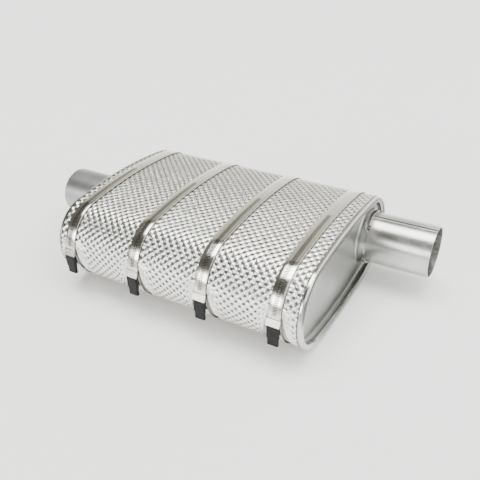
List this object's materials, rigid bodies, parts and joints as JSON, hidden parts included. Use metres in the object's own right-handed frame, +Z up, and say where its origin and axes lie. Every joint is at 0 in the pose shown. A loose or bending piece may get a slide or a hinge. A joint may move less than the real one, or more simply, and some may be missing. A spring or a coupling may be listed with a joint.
{
  "type": "muffler with wrap-round heat shield",
  "caption": "Oval muffler with a straight neck at each end, wrapped over its top and sides in an embossed sheet-metal heat shield held by slotted lock ties with dipped tail caps.",
  "frame": {"origin": "centre of the inlet neck's open mouth", "axes": "+X along the muffler from the inlet neck to the outlet neck, -Y the front where the ties are buckled, +Z up"},
  "size_m": [0.479, 0.2492, 0.1087],
  "materials": {
    "shell_steel": "satin aluminised steel",
    "neck_steel": "satin welded tube",
    "inner_steel": "dull steel",
    "shield_sheet": "bright embossed sheet",
    "tie_steel": "polished stainless",
    "cap_vinyl": "dipped vinyl"
  },
  "bodies": {
    "root": {"muffler_shell": "shell_steel", "inlet_head": "shell_steel", "outlet_head": "shell_steel", "inlet_neck": "neck_steel", "outlet_neck": "neck_steel", "inlet_tube": "inner_steel", "outlet_tube": "inner_steel", "return_tube": "inner_steel", "inlet_baffle": "inner_steel", "outlet_baffle": "inner_steel", "heat_shield": "shield_sheet", "strap_1": "tie_steel", "strap_2": "tie_steel", "strap_3": "tie_steel", "strap_4": "tie_steel", "buckle_1": "tie_steel", "buckle_2": "tie_steel", "buckle_3": "tie_steel", "buckle_4": "tie_steel", "tail_cap_1": "cap_vinyl", "tail_cap_2": "cap_vinyl", "tail_cap_3": "cap_vinyl", "tail_cap_4": "cap_vinyl"}
  },
  "joints": []
}
